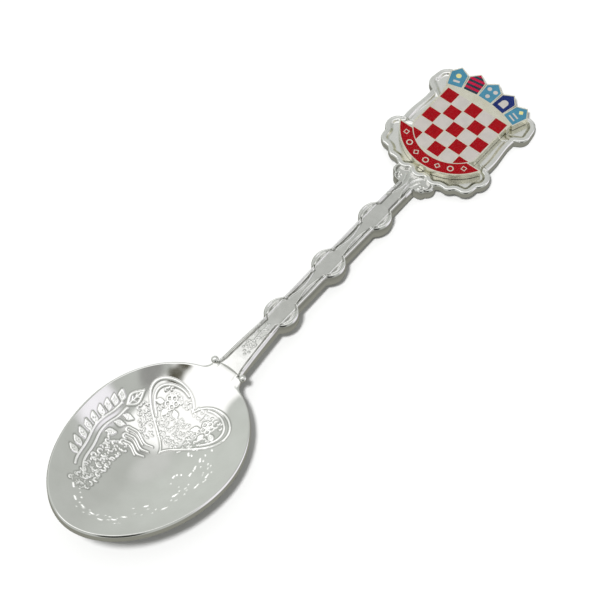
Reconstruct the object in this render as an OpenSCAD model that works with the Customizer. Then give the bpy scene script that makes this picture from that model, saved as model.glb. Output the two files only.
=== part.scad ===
// Souvenir spoon: an oval bowl soldered to a cast strapwork handle, whose end is a scrolled
// cartouche that carries an enamelled shield badge under a clear coat.
//
// X runs across the spoon, +Y runs from the bowl towards the badge, and +Z is up. The spoon lies
// as it rests on a table: on the bowl's belly and on the far end of the cartouche. The origin is
// on the table, under the middle of the spoon's bounding box.
//
// Everything is laid out straight first, with Z = 0 on the top of the stem. at_rest() then tips
// the spoon until its belly and its end both touch the table.

/* [Overall] */
// Length of the spoon lying on the table
overall_length = 116; // [112:1:124]

/* [Bowl] */
// Width of the bowl across its rim
bowl_width = 29; // [26:0.2:31]
// Distance from the bowl's widest line to its tip
bowl_tip_reach = 22; // [20:0.1:24]
// Distance from the widest line to the neck end of the oval
bowl_neck_reach = 18; // [17:0.1:18.4]
// Depth of the bowl, underside included, below its rim
bowl_depth = 7.1; // [6:0.1:8]
// How far the rim's tip stands above the stem
rim_rise = 2.7; // [2:0.1:3.5]
// Width of the flat top of the rim
rim_lip = 0.5; // [0.4:0.1:1.2]
// Height of the rim's upright edge
rim_edge = 1.6; // [1.1:0.1:1.8]
// Thickness of the neck and the tongue behind it
neck_thickness = 1.3; // [1:0.1:1.4]
// Thickness of the metal at the bottom of the bowl
bowl_wall = 1.1; // [0.8:0.1:1.5]

/* [Handle] */
// Thickness of the stem
stem_thickness = 1.9; // [1.6:0.1:2.4]
// Width of the stem between its loops
stem_width = 3.6; // [3.2:0.1:4.2]
// Width of the neck plate at the collar
collar_width = 5.4; // [5:0.1:5.8]
// Outer radius of the round loops of strapwork
loop_radius = 3.1; // [2.8:0.1:3.5]
// Distance from one loop to the next
loop_pitch = 12.9; // [12:0.1:13.5]
// Height of the raised straps
strap_height = 0.3; // [0.2:0.05:0.4]

/* [Cartouche] */
// Thickness of the cartouche's recessed field
field_thickness = 1.3; // [1.1:0.1:1.6]
// Height of the scrolled border above the field
border_height = 0.5; // [0.3:0.05:0.8]
// Width of the scrolled border
border_width = 0.9; // [0.7:0.1:1.2]

/* [Badge] */
// Side of one check, from wall to wall
check_size = 2.66; // [2.5:0.02:2.8]
// Thickness of the badge plate
badge_thickness = 1.3; // [1:0.1:1.6]
// Depth of the enamel in its cells
enamel_depth = 0.35; // [0.25:0.05:0.5]
// Width of the metal walls between cells
cell_wall = 0.16; // [0.12:0.02:0.24]
// Thickness of the clear coat over the badge
coat_thickness = 0.3; // [0.2:0.05:0.5]
// Thickness of the adhesive under the badge
glue_thickness = 0.1; // [0.05:0.05:0.2]

/* [Hidden] */

$fn = 64;
eps = 0.01;
through = 20;

// ---- Places along the straight spoon, measured from its collar ----

collar_reach = 19.2;
bowl_y = -collar_reach;
tip_y = bowl_y - bowl_tip_reach;
finial_y = 62.9;
finial_back = -0.8;
stem_length = 50.5;
collar_step = 0.6;

// ---- Bowl: one closed skin of inside, lip, edge and underside ----

tip_taper = 1.05;
rings = 14;
neck_half_width = 3;
shoulder_radius = 2.2;
shoulder_centre = [5.2, 19.2];
shoulder_angle = 13.7;
tongue_half_width = 1.9;
tongue_length = 2.8;

function rim_height(y) = -collar_step + (rim_rise + collar_step) * pow(min(y, 0) / tip_y, 2);

// Height of the outer edge, which thins from the bowl's rim to the neck
function edge_height(y) =
  neck_thickness + (rim_edge - neck_thickness) * min(1, max(0, -y / 6));

// Depth of the dish at a share of the way from its middle to its rim, from 1 down to 0
function dish(share) = max(0, 1 - share * share);

// A point of the bowl's oval, about the middle of its widest line
function oval(t, inset = 0) = [
  (bowl_width / 2 - inset) * sign(cos(t)) * pow(abs(cos(t)), t < 0 ? tip_taper : 1),
  ((t < 0 ? bowl_tip_reach : bowl_neck_reach) - inset) * sin(t)
];

tongue_end_angle = atan(tongue_half_width / (collar_reach + tongue_length));
tongue_root_angle = atan(tongue_half_width / collar_reach);
neck_corner_angle = atan(neck_half_width / collar_reach);

// Distance to the neck's outline in a direction that makes this angle with +Y
function neck_distance(angle) =
  let (
    along = shoulder_centre * [sin(angle), cos(angle)],
    reach_squared = along * along - shoulder_centre * shoulder_centre
                    + shoulder_radius * shoulder_radius
  )
  angle <= tongue_end_angle ? (collar_reach + tongue_length) / cos(angle)
  : angle <= tongue_root_angle ? tongue_half_width / sin(angle)
  : angle <= neck_corner_angle ? collar_reach / cos(angle)
  : angle > shoulder_angle ? 0
  : along - sqrt(max(0, reach_squared));

// A point of the whole outline: the oval, with the neck and tongue where they reach further
function outline(t) =
  let (
    p = oval(t),
    angle = atan2(abs(p.x), p.y),
    stretch = t > 0 ? neck_distance(angle) / norm(p) : 0
  )
  p * max(1, stretch);

// How far a point lies from the middle of the oval towards its edge
function oval_share(p, ray_share) =
  p.y > 0
    ? min(1, norm([p.x / (bowl_width / 2), p.y / bowl_neck_reach]))
    : ray_share;

// Directions round the bowl, with extra ones at the corners of the neck and tongue
neck_angles = [
  shoulder_angle, 12.5, 11.3, 10.1, neck_corner_angle, 7.3,
  tongue_root_angle, tongue_end_angle, 2.5
];
function oval_direction(angle) = 90 - atan(tan(angle) * bowl_neck_reach / (bowl_width / 2));
right_side = concat(
  [for (t = [-84 : 6 : 66]) t],
  [for (angle = neck_angles) oval_direction(angle)]
);
left_side = [for (i = [len(right_side) - 1 : -1 : 0]) 180 - right_side[i]];
function wrapped(t) = t > 180 ? t - 360 : t;
around = concat([-90], right_side, [90], [for (t = left_side) wrapped(t)]);
n = len(around);
shares = [for (i = [1 : rings]) sin(90 * i / rings)];

inside_points = [
  for (s = shares, t = around)
    let (p = oval(t, rim_lip) * s, y = bowl_y + p.y)
    [p.x, y, rim_height(y) - (bowl_depth - bowl_wall) * dish(s)]
];
edge_points = [
  for (t = around)
    let (p = outline(t), y = bowl_y + p.y)
    [p.x, y, rim_height(y)]
];
underside_points = [
  for (i = [rings - 1 : -1 : 0], t = around)
    let (p = outline(t) * shares[i], y = bowl_y + p.y)
    [p.x, y, rim_height(y) - edge_height(y)
             - (bowl_depth - rim_edge) * dish(oval_share(p, shares[i]))]
];
middle_height = rim_height(bowl_y);
skin_points = concat(
  [[0, bowl_y, middle_height - bowl_depth + bowl_wall]],
  inside_points, edge_points, underside_points,
  [[0, bowl_y, middle_height - bowl_depth]]
);
loops = 2 * rings + 1;
last_point = len(skin_points) - 1;
function ring_point(ring, i) = 1 + ring * n + (i % n);
skin_faces = concat(
  [for (i = [0 : n - 1]) [0, ring_point(0, i + 1), ring_point(0, i)]],
  [
    for (r = [0 : loops - 2], i = [0 : n - 1], half = [0, 1])
      half == 0
        ? [ring_point(r, i), ring_point(r, i + 1), ring_point(r + 1, i + 1)]
        : [ring_point(r, i), ring_point(r + 1, i + 1), ring_point(r + 1, i)]
  ],
  [for (i = [0 : n - 1]) [last_point, ring_point(loops - 1, i), ring_point(loops - 1, i + 1)]]
);

// ---- How the spoon rests: on the belly and on the cartouche's far end ----

body_half_width = 9.3;
top_scrolls = [[8.6, 8.7, 2.1], [9.1, 7, 1.9]];
low_scrolls = [[8.9, -5.4, 2.3], [8.1, -8, 2], [5.7, -9.4, 1.8], [3.2, -10.1, 1.8], [0, -10.3, 1.8]];

heel = [0, finial_y + top_scrolls[0].y + top_scrolls[0].z, finial_back];
lean = max([for (p = underside_points) atan((heel.z - p.z) / (heel.y - p.y))]);
function tipped_y(p) = p.y * cos(lean) + p.z * sin(lean);
function tipped_z(p) = p.z * cos(lean) - p.y * sin(lean);
drop = tipped_z(heel);
tip_end = tipped_y([0, tip_y, rim_rise]);

// Lays the straight spoon on the table, with its tip at the start of the overall length
module at_rest() {
  translate([0, -overall_length / 2 - tip_end, -drop])
    rotate([-lean, 0, 0])
      children();
}

module bowl() {
  color("silver")
    at_rest()
      polyhedron(points = skin_points, faces = skin_faces, convexity = 4);
}

// ---- Lap joint between the bowl's tongue and the handle ----

solder_film = 0.06;
rebate_clearance = 0.1;

module neck_solder() {
  color("gainsboro")
    at_rest()
      translate([-tongue_half_width, 0.2, -collar_step])
        cube([2 * tongue_half_width, tongue_length - 0.3, solder_film]);
}

module tongue_rebate() {
  half_width = tongue_half_width + rebate_clearance;
  translate([-half_width, -1, -collar_step - through])
    cube([2 * half_width, 1 + tongue_length + rebate_clearance, through + solder_film]);
}

// ---- Handle: the stem cast in one with the cartouche ----

loop_places = [for (i = [0 : 2]) 40 - i * loop_pitch];
rosette_place = [2.5, 49.7];
rosette_radius = 0.95;
strap_width = 0.4;
neck_plate_length = 11.5;
bead_radius = 0.65;

module both_sides() {
  children();
  mirror([1, 0, 0]) children();
}

// Outline of the stem: neck plate, shaft, loops and the two rosettes under the cartouche
module stem_outline(inset = 0) {
  half_collar = collar_width / 2 - inset;
  half_stem = stem_width / 2 - inset;
  polygon([
    [-half_collar, inset], [half_collar, inset],
    [half_stem, neck_plate_length], [-half_stem, neck_plate_length]
  ]);
  translate([-half_stem, neck_plate_length - 1])
    square([2 * half_stem, stem_length + 4 - neck_plate_length - inset]);
  for (y = loop_places)
    translate([0, y])
      circle(r = loop_radius - inset);
  both_sides()
    translate(rosette_place)
      circle(r = rosette_radius - inset);
}

// Long lozenge panel in the middle of each loop
module loop_panel() {
  polygon([[0, -4.6], [0.75, -2.6], [0.75, 2.6], [0, 4.6], [-0.75, 2.6], [-0.75, -2.6]]);
}

module stem() {
  translate([0, 0, -stem_thickness])
    linear_extrude(stem_thickness)
      stem_outline();
  linear_extrude(strap_height)
    difference() {
      stem_outline(0.15);
      stem_outline(0.15 + strap_width);
    }
  for (y = loop_places)
    translate([0, y, 0])
      linear_extrude(strap_height / 2)
        loop_panel();
  both_sides() {
    translate([rosette_place.x, rosette_place.y, 0])
      cylinder(r = rosette_radius / 2, h = strap_height);
    translate([3.05, 0.1, -bead_radius])
      sphere(r = bead_radius);
  }
}

// Outline of the cartouche about its own middle: a body with scrolls round it
module cartouche_outline(inset = 0) {
  both_sides() {
    translate([0, -8.5 + inset])
      square([body_half_width - inset, 16.7 - 2 * inset]);
    for (scroll = concat(top_scrolls, low_scrolls))
      translate([scroll.x, scroll.y])
        circle(r = scroll.z - inset);
    translate([0, -10 + inset])
      square([7 - inset, 3]);
  }
}

module cartouche() {
  translate([0, finial_y, finial_back]) {
    linear_extrude(field_thickness)
      cartouche_outline();
    translate([0, 0, field_thickness - eps])
      linear_extrude(border_height + eps)
        difference() {
          cartouche_outline();
          cartouche_outline(border_width);
        }
  }
}

module handle() {
  color("silver")
    at_rest()
      difference() {
        union() {
          stem();
          cartouche();
        }
        tongue_rebate();
        translate([-through, finial_y - 9, finial_back - through])
          cube([2 * through, 2 * through, through]);
      }
}

// ---- Badge: shield, ribbon and crown, all about the finial's middle ----

badge_base = finial_back + field_thickness + glue_thickness;
badge_top = badge_base + badge_thickness;
field_top = 6.3;
ribbon_top = -4.8;
ribbon_inner_radius = 7.55;
ribbon_outer_radius = 9.9;
badge_border = 0.2;
crown_fan_centre = [0, -11.2];
crown_fan_step = 9;
plaque_foot_radius = 19.4;
plaque_shoulder = 2.85;
plaque_peak = 4.1;
plaque_half_foot = 1.33;
plaque_half_shoulder = 1.5;

module on_badge(height) {
  at_rest()
    translate([0, finial_y, height])
      children();
}

module plaque_outline(border = 0) {
  half_foot = plaque_half_foot + border;
  half_shoulder = plaque_half_shoulder + border;
  polygon([
    [-half_foot, -border], [half_foot, -border], [half_shoulder, plaque_shoulder + border / 2],
    [0, plaque_peak + border], [-half_shoulder, plaque_shoulder + border / 2]
  ]);
}

// Draws its children at the foot of one plaque, counted from -2 at the left to 2 at the right
module at_plaque(index) {
  translate(crown_fan_centre)
    rotate(-index * crown_fan_step)
      translate([0, plaque_foot_radius])
        children();
}

module ribbon_outline(border = 0) {
  difference() {
    circle(r = ribbon_outer_radius + border, $fn = 128);
    circle(r = ribbon_inner_radius + cell_wall, $fn = 128);
    translate([-through, ribbon_top + border])
      square([2 * through, through]);
  }
}

// The chequered field's own ground: straight sides closed below by the ribbon's inner curve
module field_outline(border = 0) {
  half_width = 2.5 * check_size + border;
  translate([-half_width, 0])
    square([2 * half_width, field_top + border]);
  intersection() {
    circle(r = ribbon_inner_radius + border, $fn = 128);
    translate([-half_width, -through])
      square([2 * half_width, through]);
  }
}

module check_cells(colour_index) {
  intersection() {
    field_outline();
    for (row = [0 : 4], column = [0 : 4])
      if ((row + column) % 2 == colour_index)
        translate([(column - 2.5) * check_size, field_top - (row + 1) * check_size])
          translate([cell_wall / 2, cell_wall / 2])
            square(check_size - cell_wall);
  }
}

// Plain motifs along the ribbon: lozenges and rings in turn
motif_count = 7;
motif_step = 15.5;
motif_radius = 0.6;
motif_line = 0.2;

module ribbon_motifs() {
  for (i = [0 : motif_count - 1])
    rotate((i - (motif_count - 1) / 2) * motif_step)
      translate([0, -(ribbon_inner_radius + ribbon_outer_radius) / 2 - cell_wall / 2])
        difference() {
          circle(r = motif_radius, $fn = i % 2 == 0 ? 4 : 32);
          circle(r = motif_radius - motif_line, $fn = i % 2 == 0 ? 4 : 32);
        }
}

module ribbon_cell() {
  difference() {
    ribbon_outline();
    ribbon_motifs();
  }
}

stripe_count = 4;

module stripes(first) {
  pitch = plaque_peak / (2 * stripe_count);
  intersection() {
    plaque_outline();
    for (i = [0 : stripe_count - 1])
      translate([-through / 2, (2 * i + first) * pitch])
        square([through, pitch]);
  }
}

// Small gold devices: a disc on the left plaque and a lozenge on the right one
module gold_devices() {
  at_plaque(-2)
    translate([0, 2.3])
      circle(r = 0.5, $fn = 32);
  at_plaque(2)
    translate([0, 2.8])
      circle(r = 0.5, $fn = 4);
}

// Small white devices: a bar, three discs, a rounded tablet and two bars
module white_devices() {
  at_plaque(-2)
    translate([-0.6, 0.8])
      square([1.2, 0.45]);
  at_plaque(0)
    for (disc = [[-0.65, 2.4], [0.65, 2.4], [0, 0.9]])
      translate(disc)
        circle(r = 0.42, $fn = 32);
  at_plaque(1) {
    translate([-0.7, 0.8])
      square([1.4, 1]);
    translate([0, 1.8])
      circle(r = 0.7, $fn = 32);
  }
  at_plaque(2)
    for (y = [0.6, 1.4])
      translate([-0.75, y])
        square([1.5, 0.3]);
}

// One plaque's ground, less the devices that stand in it
module plain_plaque(index) {
  difference() {
    at_plaque(index) plaque_outline();
    gold_devices();
    white_devices();
  }
}

module badge_outline() {
  ribbon_outline(badge_border);
  field_outline(badge_border);
  for (index = [-2 : 2])
    at_plaque(index)
      plaque_outline(badge_border);
  // the band that carries the crown over the chequered field
  intersection() {
    translate(crown_fan_centre)
      circle(r = plaque_foot_radius + 0.5, $fn = 128);
    translate([-7.1, field_top - 1])
      square([14.2, 4]);
  }
}

module enamel(shade) {
  color(shade)
    on_badge(badge_top - enamel_depth)
      linear_extrude(enamel_depth)
        children();
}

module badge_plate() {
  color("palegoldenrod")
    difference() {
      on_badge(badge_base)
        linear_extrude(badge_thickness)
          badge_outline();
      on_badge(badge_top - enamel_depth)
        linear_extrude(enamel_depth + 1) {
          check_cells(0);
          check_cells(1);
          ribbon_cell();
          for (index = [-2 : 2])
            at_plaque(index)
              plaque_outline();
        }
    }
}

module badge_glue() {
  color("beige")
    on_badge(badge_base - glue_thickness)
      linear_extrude(glue_thickness)
        translate([-6, -6])
          square([12, 11]);
}

module epoxy_coat() {
  color("aliceblue", 0.3)
    on_badge(badge_top)
      linear_extrude(coat_thickness)
        badge_outline();
}

bowl();
neck_solder();
handle();
badge_glue();
badge_plate();
enamel("firebrick") check_cells(0);  // enamel_red_checks
enamel("whitesmoke") check_cells(1);  // enamel_white_checks
enamel("firebrick") ribbon_cell();  // enamel_red_ribbon
enamel("steelblue") plain_plaque(-2);  // enamel_plaque_azure_left
enamel("darkslategray") at_plaque(-1) stripes(0);  // enamel_plaque_dark_stripes
enamel("crimson") at_plaque(-1) stripes(1);  // enamel_plaque_red_stripes
enamel("steelblue") plain_plaque(0);  // enamel_plaque_azure_middle
enamel("midnightblue") plain_plaque(1);  // enamel_plaque_navy
enamel("steelblue") plain_plaque(2);  // enamel_plaque_azure_right
enamel("khaki") gold_devices();  // enamel_devices_gold
enamel("white") white_devices();  // enamel_devices_white
epoxy_coat();
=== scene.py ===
import math

import bpy
import numpy as np
from mathutils import Matrix, Vector


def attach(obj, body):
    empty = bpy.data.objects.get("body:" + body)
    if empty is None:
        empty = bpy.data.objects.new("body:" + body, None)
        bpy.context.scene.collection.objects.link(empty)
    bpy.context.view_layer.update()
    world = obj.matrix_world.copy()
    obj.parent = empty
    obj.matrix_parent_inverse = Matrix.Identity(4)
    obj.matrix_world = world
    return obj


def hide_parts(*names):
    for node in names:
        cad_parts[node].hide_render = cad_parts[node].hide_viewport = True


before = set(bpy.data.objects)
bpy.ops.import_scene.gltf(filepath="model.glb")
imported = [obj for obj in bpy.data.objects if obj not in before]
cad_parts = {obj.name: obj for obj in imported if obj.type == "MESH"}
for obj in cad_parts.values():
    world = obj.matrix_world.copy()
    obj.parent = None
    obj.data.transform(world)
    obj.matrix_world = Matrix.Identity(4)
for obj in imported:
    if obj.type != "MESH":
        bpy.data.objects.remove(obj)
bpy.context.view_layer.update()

MM = 0.001

# ---- The straight spoon: X across, Y from its collar to the badge, Z = 0 on the stem's top ----

FINIAL_Y = 62.9
GLUE_END = FINIAL_Y + 5
GLUE_TOP = 0.6


def straight_placing():
    """The lean and the shift that lay the straight spoon down, read off the flat glue pad."""
    pad = np.array([v.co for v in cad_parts["badge_glue"].data.vertices]) / MM
    near_top = pad[pad[:, 2].argmax()]
    far_top = pad[pad[:, 1].argmax()]
    lean = math.atan2(near_top[2] - far_top[2], far_top[1] - near_top[1])
    shift_y = far_top[1] - GLUE_END * math.cos(lean) - GLUE_TOP * math.sin(lean)
    shift_z = far_top[2] - GLUE_TOP * math.cos(lean) + GLUE_END * math.sin(lean)
    return lean, shift_y, shift_z


LEAN, SHIFT_Y, SHIFT_Z = straight_placing()
TURN = Matrix.Rotation(-LEAN, 3, "X")


def laid(points):
    """Points of the straight spoon, in mm, as points of the row frame, in metres."""
    p = np.asarray(points, float)
    y = p[:, 1] * math.cos(LEAN) + p[:, 2] * math.sin(LEAN) + SHIFT_Y
    z = p[:, 2] * math.cos(LEAN) - p[:, 1] * math.sin(LEAN) + SHIFT_Z
    return np.stack([p[:, 0], y, z], -1) * MM


# ---- Camera ----

TARGET = (0.72, 18.33, 0)
CAMERA_AZIMUTH = 39.15
CAMERA_ELEVATION = 56.7
CAMERA_DISTANCE = 600
SENSOR_WIDTH = 36
CLIP_RANGE = 0.05, 10
IMAGE_WIDTH = 600
PIXELS_PER_MM = 5.83


def make_camera():
    data = bpy.data.cameras.new("camera")
    camera = bpy.data.objects.new("camera", data)
    bpy.context.scene.collection.objects.link(camera)
    bpy.context.scene.camera = camera
    data.sensor_width = SENSOR_WIDTH
    data.lens = SENSOR_WIDTH * PIXELS_PER_MM * CAMERA_DISTANCE / IMAGE_WIDTH
    data.clip_start, data.clip_end = CLIP_RANGE
    a, e = math.radians(CAMERA_AZIMUTH), math.radians(CAMERA_ELEVATION)
    back = Vector((math.sin(a) * math.cos(e), -math.cos(a) * math.cos(e), math.sin(e)))
    right = Vector((math.cos(a), math.sin(a), 0))
    up = back.cross(right)
    axes = TURN @ Matrix((right, up, back)).transposed()
    place = Vector(laid([Vector(TARGET) + back * CAMERA_DISTANCE])[0])
    camera.matrix_world = Matrix.Translation(place) @ axes.to_4x4()


make_camera()

# ---- Mesh helpers ----


def new_object(name, points, faces, layers, material):
    """A smooth mesh piece of the straight spoon that rides on the spoon's one body."""
    mesh = bpy.data.meshes.new(name)
    mesh.from_pydata(laid(points).tolist(), [], faces)
    mesh.polygons.foreach_set("use_smooth", [True] * len(mesh.polygons))
    for layer_name, values in layers.items():
        layer = mesh.attributes.new(layer_name, "FLOAT", "POINT")
        layer.data.foreach_set("value", np.clip(values, 0, 1))
    mesh.materials.append(material)
    mesh.update()
    piece = bpy.data.objects.new(name, mesh)
    bpy.context.scene.collection.objects.link(piece)
    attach(piece, "root")
    return piece


def ring_faces(ring_count, around, first=0):
    """Quads between closed rings of points that follow each other in the list."""
    i = np.arange(around)
    after = (i + 1) % around
    start = first + np.arange(ring_count - 1)[:, None] * around
    quads = np.stack(
        [start + i, start + after, start + around + after, start + around + i], -1
    )
    return quads.reshape(-1, 4).tolist()


def turned(faces):
    """The same faces, each facing the other way."""
    return [face[::-1] for face in faces]


def smooth_step(x, low_panel_shade, high):
    """0 below the low value, 1 above the high one, and a smooth rise between."""
    t = np.clip((x - low_panel_shade) / (high - low_panel_shade), 0, 1)
    return t * t * (3 - 2 * t)


def curve_through(knots, spacing=0.07):
    """Points close together on a smooth curve through the knots."""
    k = np.array(knots, float)
    if len(k) == 1:
        return k
    k = np.vstack([2 * k[0] - k[1], k, 2 * k[-1] - k[-2]])
    line = []
    for a, b, c, d in zip(k[:-3], k[1:-2], k[2:-1], k[3:]):
        steps = max(2, int(np.hypot(*(c - b)) / spacing))
        t = np.linspace(0, 1, steps, endpoint=False)[:, None]
        line.append(
            0.5 * (2 * b + (c - a) * t + (2 * a - 5 * b + 4 * c - d) * t**2
                   + (3 * b - a - 3 * c + d) * t**3)
        )
    line.append(k[-2:-1])
    return np.vstack(line)


FOOT_WIDTH = 0.26


def raise_strokes(xy, strokes):
    """Height of the raised strokes, each (knots, width, height), and the painted shade at their
    feet.
    """
    height, painted_shade = np.zeros(len(xy)), np.zeros(len(xy))
    highest = max(top for _, _, top in strokes)
    for knots, width, top in strokes:
        line = curve_through(knots)
        half = width / 2
        reach = half + FOOT_WIDTH
        near = np.all((xy > line.min(0) - reach) & (xy < line.max(0) + reach), axis=1)
        index = np.nonzero(near)[0]
        if len(index) == 0:
            continue
        gap = np.full(len(index), 9.0)
        for p in line:
            gap = np.minimum(gap, np.hypot(*(xy[index] - p).T))
        profile = top * np.clip(1 - (gap / half) ** 2, 0, 1) ** 1.5
        height[index] = np.maximum(height[index], profile)
        # painted shade: a dark band along the foot of each stroke, kept off the stroke's top
        foot = np.clip(1 - np.abs(gap - half * 0.95) / FOOT_WIDTH, 0, 1) * top / highest
        painted_shade[index] = np.maximum(painted_shade[index], foot)
    return height, painted_shade * np.clip(1 - height / highest * 2, 0, 1)


def mirrored(strokes):
    """The strokes and their mirror images across the spoon's centreline."""
    other = [([(-x, y) for x, y in knots], width, top) for knots, width, top in strokes]
    return strokes + other


def arc(x, y, radius, start, end):
    """Knots along a round arc, with angles in degrees from +X."""
    count = max(3, int(abs(end - start) / 30) + 1)
    return [
        (x + radius * math.cos(a), y + radius * math.sin(a))
        for a in np.radians(np.linspace(start, end, count))
    ]


# ---- Materials: a noise of scale 260 has patches of about 4 mm, one of 5000 a 0.2 mm grain ----


def material(name, colour, roughness, metallic=0.0):
    m = bpy.data.materials.new(name)
    m.use_nodes = True
    shader = m.node_tree.nodes["Principled BSDF"]
    shader.inputs["Base Color"].default_value = (*colour, 1)
    shader.inputs["Roughness"].default_value = roughness
    shader.inputs["Metallic"].default_value = metallic
    return m


def add_noise(m, scale, detail=3.0):
    """The socket of a noise that is fixed to the object."""
    nodes = m.node_tree.nodes
    place = nodes.new("ShaderNodeTexCoord")
    noise = nodes.new("ShaderNodeTexNoise")
    noise.inputs["Scale"].default_value = scale
    noise.inputs["Detail"].default_value = detail
    m.node_tree.links.new(place.outputs["Object"], noise.inputs["Vector"])
    return noise.outputs["Fac"]


def ramp(m, source, low_panel_shade, high, start=0.3, end=0.7):
    """Maps a noise between two colours (or greys) through a colour ramp."""
    node = m.node_tree.nodes.new("ShaderNodeValToRGB")
    node.color_ramp.elements[0].position = start
    node.color_ramp.elements[1].position = end
    node.color_ramp.elements[0].color = (*low_panel_shade, 1)
    node.color_ramp.elements[1].color = (*high, 1)
    m.node_tree.links.new(source, node.inputs["Fac"])
    return node.outputs["Color"]


def vary_colour(m, scale, low_panel_shade, high):
    out = ramp(m, add_noise(m, scale), low_panel_shade, high)
    m.node_tree.links.new(out, m.node_tree.nodes["Principled BSDF"].inputs["Base Color"])


def vary_roughness(m, scale, low_panel_shade, high, detail=4.0):
    out = ramp(m, add_noise(m, scale, detail), (low_panel_shade,) * 3, (high,) * 3)
    m.node_tree.links.new(out, m.node_tree.nodes["Principled BSDF"].inputs["Roughness"])


MIX_FIRST, MIX_SECOND, MIX_RESULT = 6, 7, 2


def mix_colours(tree, factor, first, second):
    """Mixes two colours, each one a socket or three numbers, by a factor's socket."""
    node = tree.nodes.new("ShaderNodeMix")
    node.data_type = "RGBA"
    tree.links.new(factor, node.inputs["Factor"])
    for socket, colour in ((MIX_FIRST, first), (MIX_SECOND, second)):
        if isinstance(colour, tuple):
            node.inputs[socket].default_value = (*colour, 1)
        else:
            tree.links.new(colour, node.inputs[socket])
    return node.outputs[MIX_RESULT]


def add_bump(m, layers):
    """Bump from layers of noise, each (scale, depth in mm)."""
    tree = m.node_tree
    normal = None
    for scale, depth in layers:
        bump = tree.nodes.new("ShaderNodeBump")
        bump.inputs["Distance"].default_value = depth * MM
        bump.inputs["Strength"].default_value = 1
        tree.links.new(add_noise(m, scale), bump.inputs["Height"])
        if normal:
            tree.links.new(normal, bump.inputs["Normal"])
        normal = bump.outputs["Normal"]
    tree.links.new(normal, tree.nodes["Principled BSDF"].inputs["Normal"])


# Painted shade: the dark grey that the silver's recesses are painted towards, standing in for
# shade.
PAINTED_SHADE_COLOUR = (0.2, 0.2, 0.18)


def point_value(m, layer_name):
    """The socket of a number that the mesh stores at each point."""
    node = m.node_tree.nodes.new("ShaderNodeAttribute")
    node.attribute_name = layer_name
    return node.outputs["Fac"]


def silver(name, ripple, smoothest, roughest):
    """Silver plate: faint ripples, uneven gloss, painted shade in the recesses, and less metallic
    where frosted.
    """
    m = material(name, (0.93, 0.93, 0.9), smoothest, metallic=1.0)
    nodes, links = m.node_tree.nodes, m.node_tree.links
    clean = ramp(m, add_noise(m, 260), (0.90, 0.9, 0.88), (0.955, 0.955, 0.94))
    patchy = ramp(m, add_noise(m, 700), (0.7,) * 3, (1,) * 3)
    # painted shade: each point's stored value, made patchy by a noise, darkens the silver towards
    # that grey
    amount = nodes.new("ShaderNodeMath")
    amount.operation = "MULTIPLY"
    links.new(point_value(m, "painted_shade"), amount.inputs[0])
    links.new(patchy, amount.inputs[1])
    shaded_colour = mix_colours(m.node_tree, amount.outputs[0], clean, PAINTED_SHADE_COLOUR)
    links.new(shaded_colour, nodes["Principled BSDF"].inputs["Base Color"])
    mirror = nodes.new("ShaderNodeMath")
    mirror.operation = "SUBTRACT"
    mirror.inputs[0].default_value = 1
    links.new(point_value(m, "frost"), mirror.inputs[1])
    links.new(mirror.outputs[0], nodes["Principled BSDF"].inputs["Metallic"])
    vary_roughness(m, 900, smoothest, roughest)
    add_bump(m, [(120, ripple), (1500, ripple * 0.05)])
    return m


BOWL_SILVER = silver("silver_plate_bowl", 0.012, 0.06, 0.13)
HANDLE_SILVER = silver("silver_plate_handle", 0.025, 0.12, 0.22)


ENAMEL_GLOSS = 0.06


def enamel(name, colour, shade):
    """Opaque enamel, clouded to a share of its colour, with its gloss left to the clear coat."""
    m = material(name, colour, 0.2)
    shader = m.node_tree.nodes["Principled BSDF"]
    shader.inputs["Specular IOR Level"].default_value = ENAMEL_GLOSS
    vary_colour(m, 700, [c * shade for c in colour], colour)
    vary_roughness(m, 2200, 0.14, 0.3)
    add_bump(m, [(900, 0.004), (5000, 0.001)])
    return m


ENAMELS = {
    name: enamel(name, colour, shade) for name, colour, shade in (
        ("red_enamel", (0.175, 0.0015, 0.004), 0.8),
        ("white_enamel", (0.28, 0.262, 0.252), 0.9),
        ("azure_enamel", (0.037, 0.13, 0.195), 0.8),
        ("dark_enamel", (0.012, 0.022, 0.035), 0.7),
        ("crimson_enamel", (0.27, 0.005, 0.03), 0.75),
        ("navy_enamel", (0.008, 0.016, 0.085), 0.7),
        ("gold_enamel", (0.38, 0.35, 0.16), 0.85),
    )
}


def gold_plate():
    """Pale gold, bright on the flat tops of the badge's walls, with painted shade making their
    sides darker and duller.
    """
    m = material("pale_gold_plate", (0.9, 0.87, 0.74), 0.25, metallic=1.0)
    nodes, links = m.node_tree.nodes, m.node_tree.links
    bright = ramp(m, add_noise(m, 420), (0.88, 0.84, 0.70), (0.95, 0.93, 0.84))
    # painted shade: the sides of the walls, where the normal turns away from up, get this darker
    # gold
    painted_shade_on_sides = ramp(m, add_noise(m, 600), (0.54, 0.53, 0.42), (0.74, 0.72, 0.58))
    split = nodes.new("ShaderNodeSeparateXYZ")
    links.new(nodes.new("ShaderNodeTexCoord").outputs["Normal"], split.inputs[0])
    flat = ramp(m, split.outputs[2], (0,) * 3, (1,) * 3, 0.5, 0.9)
    lit_tops_shaded_sides = mix_colours(m.node_tree, flat, painted_shade_on_sides, bright)
    links.new(lit_tops_shaded_sides, nodes["Principled BSDF"].inputs["Base Color"])
    vary_roughness(m, 1500, 0.2, 0.34)
    add_bump(m, [(600, 0.006)])
    return m


def solder_metal():
    m = material("solder", (0.62, 0.62, 0.6), 0.4, metallic=1.0)
    vary_colour(m, 900, (0.5, 0.5, 0.48), (0.7, 0.7, 0.67))
    vary_roughness(m, 1300, 0.3, 0.55)
    add_bump(m, [(1400, 0.01)])
    return m


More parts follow.
